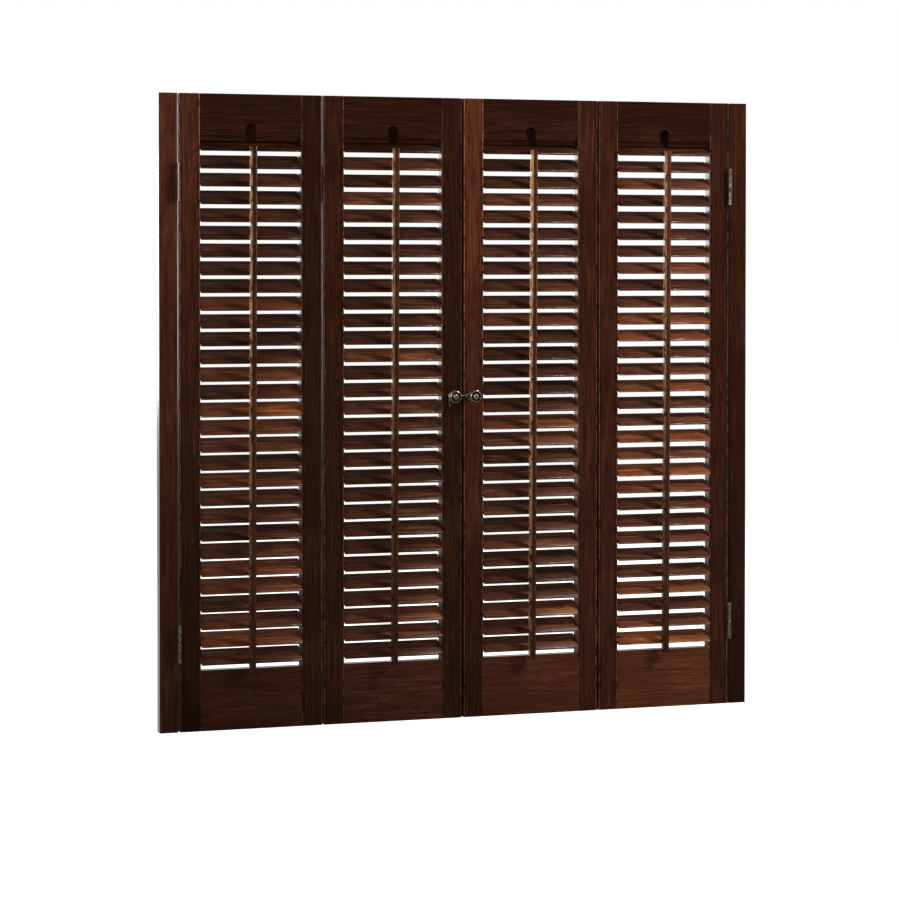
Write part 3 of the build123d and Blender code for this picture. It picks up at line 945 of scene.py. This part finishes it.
sky_link(ray.outputs["Is Transmission Ray"], seen.inputs[1])
level = sky.new("ShaderNodeMix")
sky_link(seen.outputs[0], level.inputs[0])
sky_link(mirrored.outputs[0], level.inputs[2])
level.inputs[3].default_value = 1.0
sky_link(level.outputs[0], sky_out.inputs["Strength"])
sky_out.inputs["Color"].default_value = (1, 1, 1, 1)
print("world:", world.name)

# %% The floor
FLOOR_REACH = 60.0
WHITENING = 0.6

floor_paint, floor_shader, floor_link, floor_add = new_material("pale_floor")
floor_shader.inputs["Base Color"].default_value = (0.82, 0.82, 0.81, 1)
floor_shader.inputs["Roughness"].default_value = 0.9
floor_ray = floor_add("LightPath")
watched = floor_add("Math", operation="MAXIMUM")
floor_link(floor_ray.outputs["Is Camera Ray"], watched.inputs[0])
floor_link(floor_ray.outputs["Is Transmission Ray"], watched.inputs[1])
share = floor_add("Math", {1: WHITENING}, operation="MULTIPLY")
floor_link(watched.outputs[0], share.inputs[0])
glow = floor_add("Emission", {"Strength": 1.6})
blend = floor_add("MixShader")
floor_link(share.outputs[0], blend.inputs[0])
floor_link(floor_shader.outputs[0], blend.inputs[1])
floor_link(glow.outputs[0], blend.inputs[2])
floor_link(blend.outputs[0], floor_paint.node_tree.nodes["Material Output"].inputs["Surface"])
corners = [(x * FLOOR_REACH, y * FLOOR_REACH, BOTTOM) for x, y in ((-1, -1), (1, -1), (1, 1), (-1, 1))]
floor = make_object("floor", [(corners, [(0, 1, 2, 3)], [0.0] * 4)], floor_paint)
floor.visible_glossy = False
floor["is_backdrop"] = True
print("floor at", round(BOTTOM / MM, 1))

# %% [markdown]
# ## Lamps
#
# In the right-hand panels the rods throw clear shadows to the left, and in the
# left-hand panels hardly any. So the main lamp is small and stands close, at the
# right. A second one above it does the same for the highest louvers. A wide lamp
# on the left, in front, opens the shadows.
#
# The upper faces of the louvers are pale as well, and they are turned to the
# back. That light comes down from a sky lamp behind the shutter. A bright window
# further back at the left is what the varnished inner faces of the stiles and the
# left sides of the rods mirror. It makes the pale patch at the right end of each
# gap. The main lamp and the sky lamp are kept out of mirrors, because they would
# make hard glints on the varnish.

# %% Place the lamps
WARM, COOL, SUNLIT = (1.0, 0.97, 0.93), (0.98, 0.98, 1.0), (1.0, 0.94, 0.86)
SHUTTER_MIDDLE, RIGHT_PAIR = (0.45, 0.0, 0.0), (0.75, 0.0, -0.1)


def soft_lamp(name, spot, target, wide, tall, watts, colour=(1, 1, 1)):
    """A rectangular lamp at a spot, turned to face a target."""
    light = bpy.data.lights.new(name, "AREA")
    light.shape = "RECTANGLE"
    light.size, light.size_y, light.energy, light.color = wide, tall, watts, colour
    lamp = bpy.data.objects.new(name, light)
    lamp.location = spot
    lamp.rotation_euler = (Vector(target) - Vector(spot)).to_track_quat("-Z", "Y").to_euler()
    lamp.visible_camera = False
    bpy.context.scene.collection.objects.link(lamp)
    return lamp


main_lamp = soft_lamp("main_lamp", (1.75, -0.62, 0.62), RIGHT_PAIR, 0.14, 0.14, 33, WARM)
glint_lamp = soft_lamp("glint_lamp", (1.75, -0.80, 1.45), RIGHT_PAIR, 0.16, 0.16, 20, WARM)
left_fill = soft_lamp("left_fill", (-2.2, -2.6, 1.2), (0.44, 0.0, 0.0), 1.6, 1.6, 33, COOL)
sky_lamp = soft_lamp("sky_lamp", (-0.75, 2.0, 2.15), SHUTTER_MIDDLE, 0.9, 0.9, 170)
window_lamp = soft_lamp("window_lamp", (-0.57, 3.0, 0.62), (-0.57, 0.0, 0.62), 1.7, 1.5, 42, SUNLIT)
for lamp in (main_lamp, sky_lamp):
    lamp.visible_glossy = False
print("lamps:", [lamp.name for lamp in (main_lamp, glint_lamp, left_fill, sky_lamp, window_lamp)])

# %% [markdown]
# ## Camera
#
# The upper and lower edges of the shutter run together towards the right, so the
# camera stands to the left of the middle and looks to the right, from a little
# below the top. A long lens keeps the panels' sides upright. The rest of the
# framing is a small tilt and a vertical shift of the lens.

# %% Set up the camera
eye_data = bpy.data.cameras.new("camera")
camera = bpy.data.objects.new("camera", eye_data)
bpy.context.scene.collection.objects.link(camera)
camera.location = (-0.9495, -4.0395, 0.2154)
camera.rotation_euler = (radians(90 - 1.22), 0.0, radians(-18.855))
eye_data.lens = 115.48
eye_data.sensor_width = 36.0
eye_data.shift_y = -0.14
bpy.context.scene.camera = camera
print("lens", eye_data.lens)

# %% [markdown]
# ## Colours as written
#
# The plain view transform shows each colour as the materials give it. The last
# cell prints the finished model's box.

# %% Finish
bpy.context.scene.view_settings.view_transform = "Standard"
low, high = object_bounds()
print("visual box", [round(v / MM, 1) for v in (*low, *high)])
